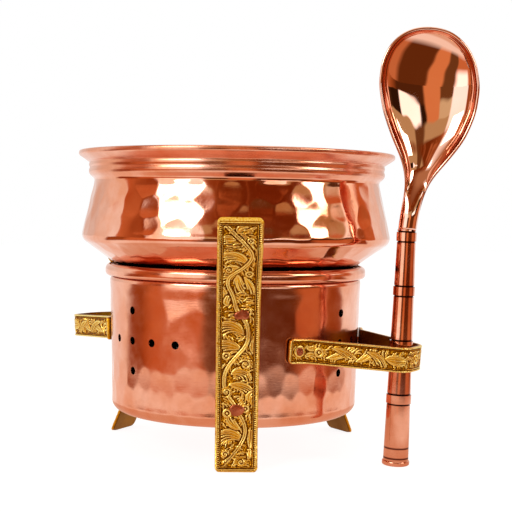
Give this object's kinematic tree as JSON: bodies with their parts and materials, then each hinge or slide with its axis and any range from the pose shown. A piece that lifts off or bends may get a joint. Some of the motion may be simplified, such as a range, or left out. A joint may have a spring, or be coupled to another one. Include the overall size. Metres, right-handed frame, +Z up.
{
  "type": "soup kettle",
  "caption": "Hammered copper serving bowl on a round copper stove drum with carved brass legs, strap handles and a copper spoon standing in one handle loop.",
  "frame": {"origin": "on the drum's axis at table height, midway between the three feet", "axes": "+Z up along the drum's axis, -Y towards the front leg, +X to the right of the person facing the front leg"},
  "size_m": [0.2053, 0.1674, 0.2123],
  "materials": {
    "drum_copper": null,
    "bowl_copper": null,
    "rim_wire_copper": null,
    "liner_steel": "satin stainless steel",
    "leg_brass": "carved and lacquered brass strip",
    "handle_brass": "carved and lacquered brass strap",
    "rivet_copper": null,
    "burr_brass": "plain brass washer",
    "cup_steel": "spun stainless steel",
    "spoon_copper": null
  },
  "bodies": {
    "stand": {"drum_shell": "drum_copper", "rim_wire": "rim_wire_copper", "front_leg": "leg_brass", "right_rear_leg": "leg_brass", "left_rear_leg": "leg_brass", "right_handle": "handle_brass", "left_handle": "handle_brass", "front_leg_rivets": "rivet_copper", "right_rear_leg_rivets": "rivet_copper", "left_rear_leg_rivets": "rivet_copper", "right_handle_rivets": "rivet_copper", "left_handle_rivets": "rivet_copper", "leg_rivet_burrs": "burr_brass", "handle_rivet_burrs": "burr_brass"},
    "bowl": {"bowl_shell": "bowl_copper", "bowl_liner": "liner_steel"},
    "cup": {"fuel_cup": "cup_steel"},
    "spoon": {"spoon_tube": "spoon_copper", "spoon_end_cap": "spoon_copper", "spoon_head": "spoon_copper"}
  },
  "joints": [
    {"name": "bowl_lift", "type": "slide", "parent": "stand", "child": "bowl", "axis": [0, 0, 1], "range_m": [0, 0.12]},
    {"name": "fuel_cup_lift", "type": "slide", "parent": "stand", "child": "cup", "axis": [0, 0, 1], "range_m": [0, 0.028]},
    {"name": "spoon_lift", "type": "slide", "parent": "stand", "child": "spoon", "axis": [0, 0, 1], "range_m": [0, 0.1]}
  ]
}
